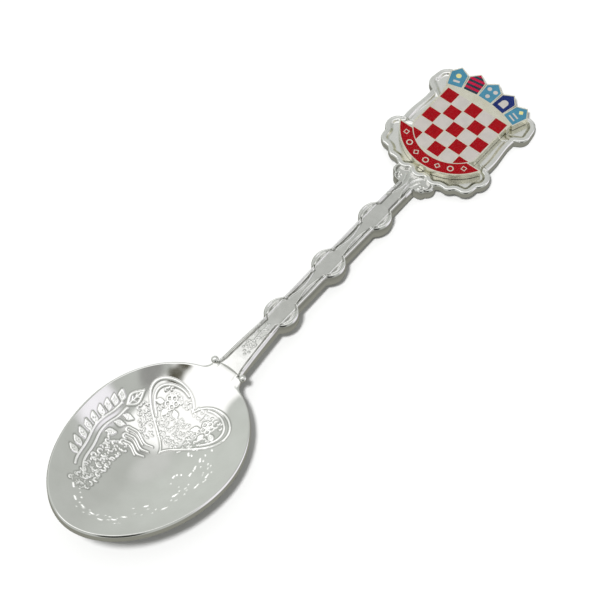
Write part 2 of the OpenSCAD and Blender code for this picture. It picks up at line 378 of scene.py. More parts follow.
def glue():
    m = material("adhesive", (0.62, 0.56, 0.4), 0.45)
    vary_colour(m, 800, (0.5, 0.43, 0.28), (0.66, 0.6, 0.45))
    vary_roughness(m, 1000, 0.35, 0.6)
    add_bump(m, [(1200, 0.01)])
    return m


EPOXY_FALLOFF = 5
EPOXY_GRAZING = 0.96
EPOXY_FACING = 0.008


def clear_epoxy():
    """Clear resin: it lets the enamel show and adds a glossy skin that grows at grazing angles."""
    m = bpy.data.materials.new("clear_epoxy")
    m.use_nodes = True
    tree = m.node_tree
    tree.nodes.clear()
    out = tree.nodes.new("ShaderNodeOutputMaterial")
    mix = tree.nodes.new("ShaderNodeMixShader")
    facing = tree.nodes.new("ShaderNodeLayerWeight")
    rise = tree.nodes.new("ShaderNodeMath")
    gain = tree.nodes.new("ShaderNodeMath")
    clear = tree.nodes.new("ShaderNodeBsdfTransparent")
    gloss = tree.nodes.new("ShaderNodeBsdfGlossy")
    rise.operation, gain.operation = "POWER", "MULTIPLY_ADD"
    rise.inputs[1].default_value = EPOXY_FALLOFF
    gain.inputs[1].default_value = EPOXY_GRAZING
    gain.inputs[2].default_value = EPOXY_FACING
    tree.links.new(facing.outputs["Facing"], rise.inputs[0])
    tree.links.new(rise.outputs[0], gain.inputs[0])
    clear.inputs["Color"].default_value = (0.985, 0.985, 0.975, 1)
    gloss.inputs["Roughness"].default_value = 0.03
    tree.links.new(gain.outputs[0], mix.inputs["Fac"])
    tree.links.new(clear.outputs["BSDF"], mix.inputs[1])
    tree.links.new(gloss.outputs["BSDF"], mix.inputs[2])
    tree.links.new(mix.outputs["Shader"], out.inputs["Surface"])
    return m


GOLD = gold_plate()
EPOXY = clear_epoxy()

# ---- Bowl ----

BOWL_WIDTH = 29
TIP_REACH = 22
NECK_REACH = 18
COLLAR_REACH = 19.2
BOWL_Y = -COLLAR_REACH
TIP_Y = BOWL_Y - TIP_REACH
COLLAR_STEP = 0.6
RIM_RISE = 2.7
RIM_LIP = 0.5
RIM_EDGE = 1.6
NECK_THICKNESS = 1.3
NECK_BLEND = 6
DISH_DEPTH = 6.0
BOWL_DEPTH = 7.1
TIP_TAPER = 1.05
NECK_HALF_WIDTH = 3
SHOULDER_RADIUS = 2.2
SHOULDER_CENTRE = (5.2, 19.2)
SHOULDER_ANGLE = 13.7
TONGUE_HALF_WIDTH = 1.9
TONGUE_LENGTH = 2.8


def rim_height(y):
    """Height of the rim, which climbs from the collar to the tip."""
    return -COLLAR_STEP + (RIM_RISE + COLLAR_STEP) * (np.minimum(y, 0) / TIP_Y) ** 2


def edge_height(y):
    """Height of the wall below the rim, less at the neck."""
    return NECK_THICKNESS + (RIM_EDGE - NECK_THICKNESS) * np.clip(-y / NECK_BLEND, 0, 1)


def dish(share):
    """Depth of a round dish, as a share of its greatest, at a share of the way to its edge."""
    return np.maximum(0, 1 - share**2)


def oval(t, inset=0.0):
    """Points of the bowl's oval about the middle of its widest line, where t is -90 at the tip."""
    c, s = np.cos(np.radians(t)), np.sin(np.radians(t))
    x = (BOWL_WIDTH / 2 - inset) * np.sign(c) * np.abs(c) ** np.where(s < 0, TIP_TAPER, 1)
    y = (np.where(s < 0, TIP_REACH, NECK_REACH) - inset) * s
    return np.stack([x, y], -1)


def neck_distance(angle):
    """Distance from the bowl's middle to the neck's outline at an angle to +Y, in degrees."""
    a = math.radians(angle)
    cx, cy = SHOULDER_CENTRE
    along = cx * math.sin(a) + cy * math.cos(a)
    reach = along**2 - cx**2 - cy**2 + SHOULDER_RADIUS**2
    if angle <= math.degrees(math.atan(TONGUE_HALF_WIDTH / (COLLAR_REACH + TONGUE_LENGTH))):
        return (COLLAR_REACH + TONGUE_LENGTH) / math.cos(a)
    if angle <= math.degrees(math.atan(TONGUE_HALF_WIDTH / COLLAR_REACH)):
        return TONGUE_HALF_WIDTH / math.sin(a)
    if angle <= math.degrees(math.atan(NECK_HALF_WIDTH / COLLAR_REACH)):
        return COLLAR_REACH / math.cos(a)
    if angle > SHOULDER_ANGLE:
        return 0
    return along - math.sqrt(max(0, reach))


def outline(t, inset=0.0):
    """The whole outline of the bowl: its oval, with neck and tongue where they reach further."""
    p = oval(t, inset)
    for i, (x, y) in enumerate(p):
        if y > 0:
            reach = neck_distance(math.degrees(math.atan2(abs(x), y))) - inset
            p[i] *= max(1, reach / math.hypot(x, y))
    return p


# The ornament is a generic design: a heart, two flowers, a vine, ribbons, curls and petals.

LINE = 0.42
FINE = 0.3
RAISED = 0.145
FINE_RAISED = RAISED * 0.7


def leaf(x, y, length, width, heading):
    """A pointed leaf: two curved sides, a midrib and side veins."""
    a = math.radians(heading)
    along, across = np.array([math.cos(a), math.sin(a)]), np.array([-math.sin(a), math.cos(a)])
    foot = np.array([x, y])
    tip = foot + along * length
    strokes = [([foot, foot + along * length * 0.85], FINE, RAISED)]
    for side in (-1, 1):
        belly = foot + along * length * 0.45 + across * side * width / 2
        strokes.append(([foot, belly, tip], LINE, RAISED))
        for share in (0.3, 0.55):
            start = foot + along * length * share
            strokes.append(([start, start + (along + across * side) * width * 0.28], FINE, RAISED))
    return strokes


def flower(x, y, radius):
    """Five round petals about a bead, with three leaves below."""
    strokes = [([(x, y)], radius * 0.55, RAISED * 1.3)]
    for heading in range(90, 450, 72):
        a = math.radians(heading)
        petal = x + radius * 0.62 * math.cos(a), y + radius * 0.62 * math.sin(a)
        strokes.append((arc(*petal, radius * 0.34, 0, 330), FINE, RAISED))
    for heading in (215, 270, 325):
        a = math.radians(heading)
        foot = x + radius * 1.15 * math.cos(a), y + radius * 1.15 * math.sin(a)
        strokes += leaf(*foot, radius * 1.1, radius * 0.6, heading)
    return strokes


def curls(start, end, half_width, seed, spacing=0.85, width=FINE, rise=FINE_RAISED):
    """Short curls spread over a strip, for the chasing between the lines."""
    chance = np.random.default_rng(seed)
    start, end = np.array(start, float), np.array(end, float)
    length = math.hypot(*(end - start))
    along = (end - start) / length
    across = np.array([-along[1], along[0]])
    strokes = []
    for far in np.arange(spacing / 2, length, spacing):
        for side in np.arange(spacing / 2 - half_width, half_width, spacing):
            shift = chance.uniform(-0.25, 0.25, 2) * spacing
            heading, sweep = chance.uniform(0, 360), chance.uniform(110, 230)
            x, y = start + along * (far + shift[0]) + across * (side + shift[1])
            strokes.append((arc(x, y, spacing * 0.3, heading, heading + sweep), width, rise))
    return strokes


HEART_X, HEART_Y = -0.7, -10.9
HEART_WIDTH, HEART_HEIGHT = 0.5, 0.39


def heart_arc(start, end, size=1.0):
    """Knots along a plain heart, turning in degrees from its cleft."""
    knots = []
    for a in np.radians(np.linspace(start, end, int(abs(end - start) / 10) + 1)):
        x = 16 * math.sin(a) ** 3
        y = 13 * math.cos(a) - 5 * math.cos(2 * a) - 2 * math.cos(3 * a) - math.cos(4 * a)
        knots.append((HEART_X + x * size * HEART_WIDTH, HEART_Y + y * size * HEART_HEIGHT))
    return knots


def heart():
    """A heart with doubled lobes, a flower in each lobe and rows of curls across it."""
    strokes = [
        (heart_arc(14, 346), LINE, RAISED),
        (heart_arc(42, 118, 0.87), LINE, RAISED),
        (heart_arc(242, 318, 0.87), LINE, RAISED),
    ]
    for side in (-1, 1):
        strokes += flower(HEART_X + side * 3.9, HEART_Y + 1.4, 1.2)
    for seed, (y, half) in enumerate(((-8.2, 6.2), (-11.1, 5.9), (-12.9, 4.7), (-14.8, 2.9)), 1):
        strokes += curls((HEART_X - half, y), (HEART_X + half, y), 0.9, seed, 0.78)
    return strokes


def ribbons():
    """Three short S-shaped ribbons under the heart, each with a curl at its start."""
    strokes = []
    for x, y, length in ((-7.0, -17.5, 4.8), (-6.6, -18.7, 4.4), (-6.2, -19.9, 4.0)):
        bend = [(x, y), (x + length * 0.3, y + 0.35), (x + length * 0.7, y - 0.35), (x + length, y)]
        strokes.append((bend, LINE, RAISED))
        strokes.append(([(px, py - 0.5) for px, py in bend[:3]], FINE, RAISED))
        strokes.append((arc(x, y - 0.45, 0.45, 90, 300), LINE, RAISED))
    return strokes


def round_bowl(t, share):
    """A point at a share of the way from the middle to the rim, at t degrees round the oval."""
    x, y = oval(np.array(float(t))) * share
    return x, BOWL_Y + y


def vine():
    """Two stems up the left side, with leaves along both and a large leaf on top."""
    strokes = []
    for share, start, end in ((0.75, 164, 224), (0.675, 162, 232)):
        sway = [round_bowl(t, share + 0.012 * math.sin(math.radians(t * 12)))
                for t in range(start, end, 4)]
        strokes.append((sway, LINE, RAISED))
    for t in range(164, 218, 6):
        strokes += leaf(*round_bowl(t, 0.77), 1.7, 0.9, t - 40)
    for t in range(168, 190, 10):
        strokes += leaf(*round_bowl(t, 0.64), 1.6, 0.9, t - 140)
    return strokes + leaf(*round_bowl(161, 0.71), 3.8, 1.6, 82)


def curled_strip():
    """Curls in a strip between the vine and the bowl's middle, and beside the heart."""
    return (
        curls((-7.2, -21.2), (-5.5, -33), 1.7, 5, 1.3, LINE, RAISED)
        + curls((-7.3, -20.6), (-5.4, -33), 1.5, 6) + curls((-8.2, -12.6), (-3.9, -17), 1.3, 7)
    )


def petals_along(start, end, share, spread, count, seed):
    """Loose petals near an arc round the bowl: small dots, with a dash here and there."""
    chance = np.random.default_rng(seed)
    strokes = []
    for i, t in enumerate(np.linspace(start, end, count)):
        turned, far = t + chance.uniform(-2, 2), share + chance.uniform(-spread, spread)
        if i % 4 == 0:
            dash = [round_bowl(turned + step, far) for step in (-1.6, 0, 1.6)]
            strokes.append((dash, 0.45, 0.2))
        else:
            width = chance.uniform(0.36, 0.5)
            strokes.append(([round_bowl(turned, far)], width, width * 0.4))
    return strokes


def falling_petals():
    """Loose petals along the bowl's foot, up its right side and under the heart."""
    return (
        petals_along(240, 300, 0.76, 0.05, 24, 11) + petals_along(300, 380, 0.62, 0.08, 24, 12)
        + petals_along(340, 420, 0.45, 0.16, 26, 13)
    )


def bowl_ornament():
    """All the strokes of the ornament but its loose petals."""
    return heart() + ribbons() + vine() + curled_strip()


BOWL_PAINTED_SHADE = 0.95
LINE_FROST = 0.28
PETAL_FROST = 0.5
NECK_SCOOP = 0.34
SCOOP_FROM = -6
LIP_FADE = 2
DENSE_FROM, DENSE_TO, DENSE_STEP = 45, 255, 0.55
COARSE_STEP = 1.2
INSIDE_RINGS = 150
RING_CROWDING = 0.93
UNDER_RINGS = 20
# shares of the way from the dish to the edge, each with its fall below the rim
LIP_PROFILE = [(0.1, -0.03), (0.3, -0.05), (0.5, -0.02), (0.62, 0.05), (0.8, 0.2), (0.97, 0.42)]
WALL_SHARES = (0.45, 0.65, 0.88)


def neck_scoop(y, lip_share=0.0):
    """How far the dish is scooped lower before the collar, so that it runs up to the collar."""
    dish_end = BOWL_Y + NECK_REACH - RIM_LIP
    rise = 1 - np.clip((y - dish_end) / -dish_end, 0, 1)
    return NECK_SCOOP * smooth_step(y, SCOOP_FROM, dish_end) * rise * (1 - lip_share**2)


def bowl_directions():
    """Directions round the oval, closer together where the ornament is."""
    dense = np.arange(DENSE_FROM, DENSE_TO, DENSE_STEP)
    coarse = np.arange(DENSE_TO, DENSE_FROM + 360, COARSE_STEP)
    return np.concatenate([dense, coarse])


def make_bowl():
    """The whole pressed bowl: dish with its ornament, lip, wall and underside."""
    t = bowl_directions()
    around = len(t)
    inner, outer = oval(t, RIM_LIP), outline(t)
    rings = []
    for share in np.linspace(0, 1, INSIDE_RINGS + 1)[1:] ** RING_CROWDING:
        p = inner * share
        y = BOWL_Y + p[:, 1]
        z = rim_height(y) - DISH_DEPTH * dish(share) - neck_scoop(y)
        rings.append(np.stack([p[:, 0], y, z], -1))
    for share, drop in LIP_PROFILE:
        p = inner + (outer - inner) * share
        y = BOWL_Y + p[:, 1]
        fall = drop * np.clip(-y / LIP_FADE, 0, 1) + neck_scoop(y, share)
        rings.append(np.stack([p[:, 0], y, rim_height(y) - fall], -1))
    for share in WALL_SHARES:
        y = BOWL_Y + outer[:, 1]
        z = rim_height(y) - edge_height(y) * share
        rings.append(np.stack([outer[:, 0], y, z], -1))
    for share in np.sin(np.radians(np.linspace(90, 0, UNDER_RINGS, endpoint=False))):
        p = outer * share
        y = BOWL_Y + p[:, 1]
        reach = np.hypot(p[:, 0] / (BOWL_WIDTH / 2), p[:, 1] / NECK_REACH)
        q = np.where(p[:, 1] > 0, np.minimum(1, reach), share)
        z = rim_height(y) - edge_height(y) - (BOWL_DEPTH - RIM_EDGE) * dish(q)
        rings.append(np.stack([p[:, 0], y, z], -1))
    points = np.vstack(rings)
    inside = slice(0, INSIDE_RINGS * around)
    height, foot = raise_strokes(points[inside, :2], bowl_ornament())
    petals, _ = raise_strokes(points[inside, :2], falling_petals())
    points[inside, 2] += np.maximum(height, petals)
    middle = rim_height(np.array(BOWL_Y))
    poles = [[0, BOWL_Y, middle - DISH_DEPTH], [0, BOWL_Y, middle - BOWL_DEPTH]]
    points = np.vstack([points, poles])
    faces = ring_faces(len(rings), around)
    top, bottom = len(points) - 2, len(points) - 1
    last = (len(rings) - 1) * around
    for i in range(around):
        j = (i + 1) % around
        faces.append([top, j, i])
        faces.append([bottom, last + i, last + j])
    layers = {"painted_shade": np.zeros(len(points)), "frost": np.zeros(len(points))}
    # painted shade along the feet of the ornament's raised lines
    layers["painted_shade"][inside] = foot * BOWL_PAINTED_SHADE
    line_frost = np.clip(height / RAISED, 0, 1) * LINE_FROST
    layers["frost"][inside] = np.maximum(line_frost, np.clip(petals / RAISED, 0, 1) * PETAL_FROST)
    bowl = new_object("stamped_bowl", points, turned(faces), layers, BOWL_SILVER)
    bowl.visible_glossy = False
    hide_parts("bowl")


make_bowl()

# ---- Handle: the stem ----

STEM_HALF_WIDTH = 1.8
STEM_THICKNESS = 1.9
STEM_END = 54.5
COLLAR_HALF_WIDTH = 2.7
COLLAR_FLARE = 0.25
COLLAR_FLARE_LENGTH = 1.6
COLLAR_ARC = 0.5
COLLAR_ARC_LENGTH = 3
NECK_PLATE_LENGTH = 11.5
LOOP_PLACES = (40, 27.1, 14.2)
LOOP_RADIUS = 3.1
ROSETTE = (2.5, 49.7)
LOBES = [(2.5, 49.7, 0.95), (3.0, 50.9, 1.3)]
STEM_COLUMNS = 56
STEM_ROW = 0.115


def bulge(y, centre_x, centre_y, radius):
    """How far out a round bulge reaches at a place along the stem."""
    inside = np.maximum(0, radius**2 - (y - centre_y) ** 2)
    return np.where(inside > 0, centre_x + np.sqrt(inside), 0)


def blended_max(a, b, blend=0.12):
    """The greater of two values, with the corner where they cross rounded off."""
    return 0.5 * (a + b + np.sqrt((a - b) ** 2 + blend**2)) - blend / 4


def stem_half_width(y):
    """Half the stem's width: a tapering neck plate, then a shaft with loops and end lobes."""
    share = np.clip(y / NECK_PLATE_LENGTH, 0, 1)
    width = COLLAR_HALF_WIDTH + (STEM_HALF_WIDTH - COLLAR_HALF_WIDTH) * share
    width = width + COLLAR_FLARE * np.clip(1 - y / COLLAR_FLARE_LENGTH, 0, 1) ** 2
    for place in LOOP_PLACES:
        width = blended_max(width, bulge(y, 0, place, LOOP_RADIUS))
    for centre_x, centre_y, radius in LOBES:
        width = blended_max(width, bulge(y, centre_x, centre_y, radius))
    return width


STRAP = 0.36
STRAP_RISE = 0.24
# Strengths of the painted shade on the stem: low panels, edge grooves, and the feet of raised
# strokes.
PANEL_PAINTED_SHADE = 0.32
GROOVE_PAINTED_SHADE = 0.95
FOOT_PAINTED_SHADE = 0.6
STEM_CROWN = 0.6
NECK_DIP = 0.5
NECK_DIP_LENGTH = 9
EDGE_ROUND = 0.35
EDGE_STRAP = (0.34, 0.26, 0.2)
LOOP_BAND = (0.86, 0.2, 0.16)
EDGE_GROOVE = (0.74, 0.15, 0.16)
POCKET_DEPTH = 0.4
POCKET_EDGE = (0.98, 1.15)
LOOP_SIDE = (1.66, 1.8)
STEM_STRAP_X = 1.45


def stem_strokes():
    """Strapwork on the stem: straps that part round each loop and meet between loops."""
    x = STEM_STRAP_X
    strokes = [
        ([(x, 10), (x, 46.5)], STRAP, STRAP_RISE),
        ([(x, 10), (1.7, 5.5), (2.05, 1.2)], STRAP, STRAP_RISE * 0.8),
        ([(x, 44.6), (0.95, 45.8), (0.4, 47.2), (0.25, 49), (0.5, 50.4), (1.3, 51.6)],
         STRAP, STRAP_RISE),
        ([(1.4, 46.6), (1.05, 47.8), (1.0, 49.2), (1.5, 50.6)], 0.3, STRAP_RISE * 0.8),
        ([(x, 9.8), (1.0, 8.9), (0.75, 7.6)], 0.3, STRAP_RISE * 0.6),
    ]
    for low_panel_shade, high in zip(LOOP_PLACES[1:], LOOP_PLACES[:-1]):
        middle = (low_panel_shade + high) / 2
        knots = [(x, middle - 4.7), (0.8, middle - 3), (0.33, middle), (0.8, middle + 3),
                 (x, middle + 4.7)]
        strokes.append((knots, STRAP, STRAP_RISE))
        strokes.append(([(1.2, middle - 3.2), (1.0, middle), (1.2, middle + 3.2)], 0.28, 0.14))
    return mirrored(strokes)


FLOWER_RISE = 0.22
FLOWER_Y = 6
PETAL_REACH = 0.62


def neck_plate_flower():
    """A small flower with a leafy stalk in the middle of the neck plate."""
    strokes = []
    for a in np.radians(np.arange(90, 450, 72)):
        x, y = PETAL_REACH * math.cos(a), FLOWER_Y + PETAL_REACH * math.sin(a)
        strokes.append((arc(x, y, 0.27, 0, 330), 0.22, FLOWER_RISE))
    strokes.append(([(0, FLOWER_Y)], 0.5, FLOWER_RISE))
    strokes.append(([(0, 6.9), (-0.1, 8.8), (0, 11)], 0.26, FLOWER_RISE))
    for y, side in ((7.9, 1), (8.9, -1), (9.9, 1), (10.8, -1)):
        strokes.append(([(0, y - 0.3), (side * 0.5, y)], 0.28, FLOWER_RISE))
    for place in ((0.35, 3.9), (-0.1, 4.4), (0.7, 4.6), (-0.7, 4.9)):
        strokes.append(([place], 0.38, FLOWER_RISE))
    return strokes


def rosette_beads():
    """Five beads round a larger one, on each side of the stem's end."""
    x, y = ROSETTE
    ring = [
        ([(x + 0.5 * math.cos(a), y + 0.5 * math.sin(a))], 0.42, 0.22)
        for a in np.radians(np.arange(0, 360, 72))
    ]
    return mirrored(ring + [([ROSETTE], 0.5, 0.3)])


def ridge(gap, middle, half, rise):
    """Height of a rounded ridge at a distance from an edge, with its middle at another."""
    return rise * np.clip(1 - ((gap - middle) / half) ** 2, 0, 1)


def stem_top(x, y, half_width):
    """Height of the stem's top: rounded edges, edge straps, banded loops, and strapwork, with the
    painted shade of its low places.
    """
    inward = half_width - np.abs(x)
    from_edge = 1 - np.clip(inward / EDGE_ROUND, 0, 1)
    z = -EDGE_ROUND * (1 - np.sqrt(1 - from_edge**2))
    edge_strap = ridge(inward, *EDGE_STRAP)
    outside = smooth_step(np.abs(x), *LOOP_SIDE)
    in_loop = np.zeros_like(x)
    for place in LOOP_PLACES:
        in_loop += smooth_step(LOOP_RADIUS - np.abs(y - place), 0.3, 0.7)
    band = ridge(inward, *LOOP_BAND) * outside * in_loop
    pocket = -POCKET_DEPTH * outside * smooth_step(inward, *POCKET_EDGE) * in_loop
    groove = -ridge(inward, *EDGE_GROOVE) * (1 - in_loop * outside)
    share = y / STEM_END
    crown = STEM_CROWN * 4 * share * (1 - share)
    dip = -NECK_DIP * (1 - np.clip(y / NECK_DIP_LENGTH, 0, 1)) ** 1.5
    xy = np.stack([x, y], -1)
    strokes = stem_strokes() + neck_plate_flower() + rosette_beads()
    raised, foot = raise_strokes(xy, strokes)
    past_plate = smooth_step(y, 8, 13)
    # painted shade: low panels past the neck plate, the edge grooves and the feet of the raised
    # strokes are darkened
    low_panel_shade = np.clip(1 - (raised + edge_strap + band) / 0.1, 0, 1) * PANEL_PAINTED_SHADE * past_plate
    groove_shade = np.clip(-groove / 0.12, 0, 1) * GROOVE_PAINTED_SHADE
    painted_shade = np.maximum.reduce([low_panel_shade, groove_shade, foot * FOOT_PAINTED_SHADE])
    return z + edge_strap + band + pocket + groove + crown + dip + raised, painted_shade


def make_stem_mesh():
    """Points and faces of the stem, from its collar to its end under the cartouche."""
    rows = np.arange(0, STEM_END + STEM_ROW, STEM_ROW)
    u = np.linspace(-1, 1, STEM_COLUMNS + 1)
    u = np.sin(u * math.pi / 2) * 0.35 + u * 0.65
    half = stem_half_width(rows)
    x = half[:, None] * u[None, :]
    y = np.repeat(rows[:, None], len(u), 1)
    width = np.repeat(half[:, None], len(u), 1)
    z, painted_shade = stem_top(x.ravel(), y.ravel(), width.ravel())
    z, painted_shade = z.reshape(x.shape), painted_shade.reshape(x.shape)
    # each row goes on down the right wall, back under the stem, and up the left wall
    base = -STEM_THICKNESS
    wall = [(1.0, base * 0.45), (1.0, base + 0.3), (0.97, base + 0.08), (0.9, base)]
    under = (0.45, 0, -0.45)
    right_x = [half * s for s, _ in wall]
    extra_x = right_x + [half * s for s in under] + [-c for c in right_x[::-1]]
    extra_z = [h for _, h in wall] + [base] * len(under) + [h for _, h in wall[::-1]]
    x = np.hstack([x, np.stack(extra_x, -1)])
    z = np.hstack([z, np.repeat([extra_z], len(rows), 0)])
    # the collar's front is a shallow arc, drawn back at its middle
    drawn_back = COLLAR_ARC * np.clip(1 - rows / COLLAR_ARC_LENGTH, 0, 1)
    y = rows[:, None] + drawn_back[:, None] * (1 - (x / half[:, None]) ** 2)
    painted_shade = np.pad(painted_shade, ((0, 0), (0, x.shape[1] - painted_shade.shape[1])))
    around = x.shape[1]
    points = np.stack([x, y, z], -1).reshape(-1, 3)
    faces = ring_faces(len(rows), around)
    faces.append(list(range(around))[::-1])
    faces.append(list(range((len(rows) - 1) * around, len(rows) * around)))
    return points, faces, painted_shade.ravel()


# ---- Handle: the cartouche ----

BACK = -0.8
FIELD = 0.5
BORDER_TOP = 0.9
BODY_HALF_WIDTH = 9.3
BODY_TOP, BODY_FOOT = 8.2, -8.5
SCROLLS = [
    (8.6, 8.7, 2.1), (9.1, 7, 1.9), (8.9, -5.4, 2.3), (8.1, -8, 2), (5.7, -9.4, 1.8),
    (3.2, -10.1, 1.8), (0, -10.3, 1.8),
]
CARTOUCHE_SEGMENTS = 900
BORDER_RINGS = 40
RING_STEP = 0.075
BORDER_SLOPE = (0.65, 1.45)
BORDER_GROOVE = (0.55, 0.32, 0.06)
BORDER_FOOT, BORDER_FOOT_WIDTH, BORDER_FOOT_PAINTED_SHADE = 1.2, 0.22, 0.14
CARTOUCHE_ROUND = 0.4
INNER_SHARES = (0.2, 0.45, 0.62)
# how far in from the outline, and how high, each ring of the wall is
CARTOUCHE_WALL = ((0, 0.35), (0, -0.45), (0.06, -0.7), (0.2, BACK))


def side_width(y):
    """Half the width of the cartouche's body, gently waisted between its scrolls."""
    return BODY_HALF_WIDTH + 0.2 * math.cos(math.radians((y + 1.5) * 36))


def cartouche_reach(angle):
    """Distance from the cartouche's middle to its outline, at an angle from +X in radians."""
    dx, dy = abs(math.cos(angle)), math.sin(angle)
    edge = BODY_TOP if dy > 0 else -BODY_FOOT
    side = side_width(dy * BODY_HALF_WIDTH / max(dx, 0.3)) / max(dx, 1e-6)
    reach = min(side, edge / max(abs(dy), 1e-6))
    for x, y, radius in SCROLLS:
        along = x * dx + y * dy
        off = radius**2 - (x * x + y * y - along**2)
        if off > 0:
            reach = float(blended_max(reach, along + math.sqrt(off), 0.7))
    return reach


def outline_gap(xy, line):
    """Distance from each point to the outline."""
    gap = np.full(len(xy), 99.0)
    a, b = line, np.roll(line, -1, 0)
    for p, q in zip(a, b):
        d = q - p
        t = np.clip(((xy - p) @ d) / (d @ d), 0, 1)
        gap = np.minimum(gap, np.hypot(*(xy - p - t[:, None] * d).T))
    return gap


def cartouche_strokes():
    """The curled ends of the border beside the ribbon."""
    return mirrored([([(9.3, -3.3), (8.4, -3.2), (7.9, -3.7), (8.3, -4.3)], 0.34, 0.2)])


def make_cartouche_mesh():
    """Points and faces of the cartouche: a flat field, a raised border, its wall and back."""
    angles = np.linspace(0, 2 * math.pi, CARTOUCHE_SEGMENTS, endpoint=False)
    reach = np.array([cartouche_reach(a) for a in angles])
    ray = np.stack([np.cos(angles), np.sin(angles)], -1)
    line = ray * reach[:, None]
    insets = [RING_STEP * i for i in range(BORDER_RINGS)]
    rings = []
    for share in INNER_SHARES:
        rings.append(ray * (reach * share)[:, None])
    for inset in insets[::-1]:
        rings.append(ray * (reach - inset)[:, None])
    xy = np.vstack(rings)
    gap = outline_gap(xy, line)
    from_edge = 1 - np.clip(gap / CARTOUCHE_ROUND, 0, 1)
    round_edge = CARTOUCHE_ROUND * (1 - np.sqrt(1 - from_edge**2))
    border = (BORDER_TOP - FIELD) * (1 - smooth_step(gap, *BORDER_SLOPE))
    groove = ridge(gap, *BORDER_GROOVE)
    raised, foot = raise_strokes(xy, cartouche_strokes())
    top = np.column_stack([xy, FIELD + border - groove - round_edge + raised])
    # painted shade: a dark line along the border's foot, in its groove and at the feet of the curls
    border_foot = np.clip(1 - np.abs(gap - BORDER_FOOT) / BORDER_FOOT_WIDTH, 0, 1)
    painted_shade = np.maximum.reduce(
        [border_foot * BORDER_FOOT_PAINTED_SHADE, foot * FOOT_PAINTED_SHADE, groove * 1.5]
    )
    walls = []
    for inset, height in CARTOUCHE_WALL:
        edge = ray * (reach - inset)[:, None]
        walls.append(np.column_stack([edge, np.full(len(edge), height)]))
    inner_back = np.column_stack([ray * (reach * 0.5)[:, None], np.full(len(ray), BACK)])
    points = np.vstack([top, *walls, inner_back, [[0, 0, FIELD], [0, 0, BACK]]])
    ring_count = len(rings) + len(walls) + 1
    around = CARTOUCHE_SEGMENTS
    faces = ring_faces(ring_count, around)
    last = (ring_count - 1) * around
    middle, behind = len(points) - 2, len(points) - 1
    for i in range(around):
        j = (i + 1) % around
        faces.append([middle, j, i])
        faces.append([behind, last + i, last + j])
    points[:, 1] += FINIAL_Y
    return points, turned(faces), np.pad(painted_shade, (0, len(points) - len(painted_shade)))


COLLAR_BEAD = (3.05, 0.1, -0.5)
BEAD_RADIUS = 0.65


def collar_bead(side):
    """A round bead at one corner of the collar."""
    x, y, z = side * COLLAR_BEAD[0], COLLAR_BEAD[1], COLLAR_BEAD[2]
    points = [[x, y, z + BEAD_RADIUS]]
    turns = np.radians(np.arange(0, 360, 15))
    for fall in np.radians(np.arange(15, 180, 15)):
        for turn in turns:
            reach = BEAD_RADIUS * math.sin(fall)
            points.append([x + reach * math.cos(turn), y + reach * math.sin(turn),
                           z + BEAD_RADIUS * math.cos(fall)])
    points.append([x, y, z - BEAD_RADIUS])
    around, last = len(turns), len(points) - 1
    faces = turned(ring_faces((last - 1) // around, around, first=1))
    for i in range(around):
        j = (i + 1) % around
        faces.append([0, 1 + i, 1 + j])
        faces.append([last, last - around + j, last - around + i])
    return np.array(points), faces, np.zeros(len(points))


def make_handle():
    """The whole casting: stem, cartouche and the collar's two beads."""
    points, faces, painted_shade = make_stem_mesh()
    for part in (make_cartouche_mesh(), collar_bead(-1), collar_bead(1)):
        offset = len(points)
        points = np.vstack([points, part[0]])
        faces += [[i + offset for i in face] for face in part[1]]
        painted_shade = np.concatenate([painted_shade, part[2]])
    layers, slot = {"painted_shade": painted_shade}, "silver_plate_handle"
    handle = new_object("cast_handle", points, faces, layers, HANDLE_SILVER)
    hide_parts("handle")


make_handle()

# ---- Badge: the CAD cells carry their own enamels ----

NODE_FINISH = {
    "neck_solder": solder_metal(),
    "badge_glue": glue(),
    "badge_plate": GOLD,
    "enamel_red_checks": ENAMELS["red_enamel"],
    "enamel_white_checks": ENAMELS["white_enamel"],
    "enamel_red_ribbon": ENAMELS["red_enamel"],
    "enamel_plaque_azure_left": ENAMELS["azure_enamel"],
    "enamel_plaque_dark_stripes": ENAMELS["dark_enamel"],
    "enamel_plaque_red_stripes": ENAMELS["crimson_enamel"],
    "enamel_plaque_azure_middle": ENAMELS["azure_enamel"],
    "enamel_plaque_navy": ENAMELS["navy_enamel"],
    "enamel_plaque_azure_right": ENAMELS["azure_enamel"],
    "enamel_devices_gold": ENAMELS["gold_enamel"],
    "enamel_devices_white": ENAMELS["white_enamel"],
}

for node_name, finish in NODE_FINISH.items():
    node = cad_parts[node_name]
    node.data.materials.clear()
    node.data.materials.append(finish)

EPOXY_EDGE = 0.12
EPOXY_SINK = 0.03
EPOXY_CORNER = 50


def make_epoxy_skin():
    """The clear coat with rounded edges, its foot sunk a little into the enamel."""
    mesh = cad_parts["epoxy_coat"].data.copy()
    mesh.name = "clear_coat"
    up = TURN @ Vector((0, 0, 1))
    heights = [v.co.dot(up) for v in mesh.vertices]
    middle = (min(heights) + max(heights)) / 2
    for vertex, height in zip(mesh.vertices, heights):
        if height < middle:
            vertex.co -= up * EPOXY_SINK * MM
    mesh.materials.clear()
    mesh.materials.append(EPOXY)
    skin = bpy.data.objects.new("clear_coat", mesh)
    bpy.context.scene.collection.objects.link(skin)
    bevel = skin.modifiers.new("edge", "BEVEL")
    bevel.width = EPOXY_EDGE * MM
    bevel.segments = 3
    bevel.limit_method = "ANGLE"
    bevel.angle_limit = math.radians(EPOXY_CORNER)
    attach(skin, "root")
    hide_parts("epoxy_coat")


make_epoxy_skin()

# ---- Stage: floor and soft studio light ----

FLOOR_COLOUR = (0.5, 0.5, 0.5)
FLOOR_HALF = 3.0


